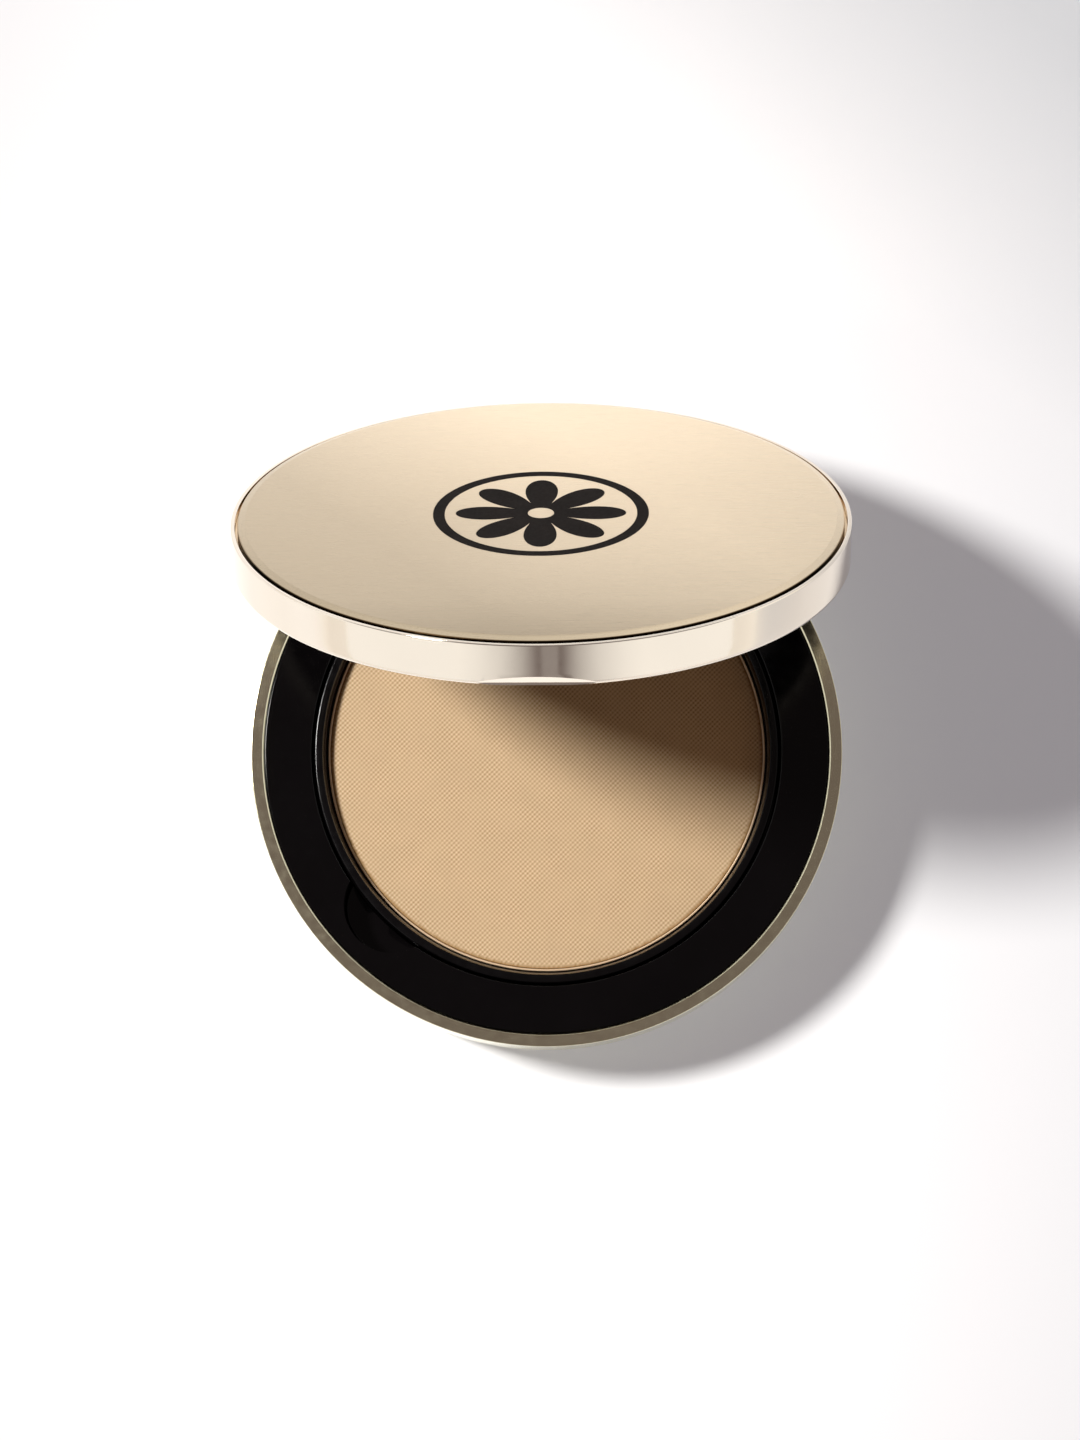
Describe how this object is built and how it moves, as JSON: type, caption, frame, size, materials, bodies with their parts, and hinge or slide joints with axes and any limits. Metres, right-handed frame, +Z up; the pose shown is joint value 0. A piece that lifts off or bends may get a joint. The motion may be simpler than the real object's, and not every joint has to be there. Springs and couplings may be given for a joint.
{
  "type": "powder compact",
  "caption": "Round hinged powder compact with a mirror lid, a weighted base and a lift-out pressed-powder refill.",
  "frame": {"origin": "centre of the base's flat underside, on the axis of the round case", "axes": "+Z up out of the open base, +Y towards the hinge at the back, -Y towards the lid's thumb notch, +X to the user's right; the lid stands open at 58 degrees"},
  "size_m": [0.0794, 0.087, 0.0848],
  "materials": {
    "gold_base": "vacuum-metallised pale gold, polished",
    "gold_lid": "vacuum-metallised pale gold, mirror polished",
    "satin_plate": "anodised pale gold, fine satin brushing",
    "black_tray": "high gloss moulded black",
    "black_cup": "gloss moulded black",
    "black_frame": "gloss moulded black",
    "enamel": "black enamel inlay, semi-matt",
    "steel": "plain bright steel",
    "magnet": "nickel plated",
    "tinplate": "bright drawn tinplate",
    "powder": "matt pressed powder with a woven embossing and fine shimmer",
    "mirror_glass": "silvered float glass",
    "tape": "double-sided adhesive tape",
    "label": "blank metallic film label"
  },
  "bodies": {
    "base": {"base_shell": "gold_base", "base_tray": "black_tray", "weight_plate": "steel", "weight_adhesive": "tape", "base_magnet_left": "magnet", "base_magnet_right": "magnet", "base_label": "label", "hinge_pin": "steel"},
    "refill": {"refill_cup": "black_cup", "pan_adhesive": "tape", "powder_pan": "tinplate", "pressed_powder": "powder"},
    "lid": {"lid_shell": "gold_lid", "lid_top_plate": "satin_plate", "top_plate_adhesive": "tape", "emblem_ring": "enamel", "emblem_rosette": "enamel", "mirror_frame": "black_frame", "mirror": "mirror_glass", "mirror_adhesive": "tape", "lid_magnet_left": "magnet", "lid_magnet_right": "magnet", "hinge_bush": "steel"}
  },
  "joints": [
    {"name": "lid_hinge", "type": "hinge", "parent": "base", "child": "lid", "pos_m": [0, 0.0386, 0.0133], "axis": [-1, 0, 0], "range_deg": [-58, 57]},
    {"name": "refill_lift", "type": "slide", "parent": "base", "child": "refill", "axis": [0, 0, 1], "range_m": [0, 0.0028]}
  ]
}
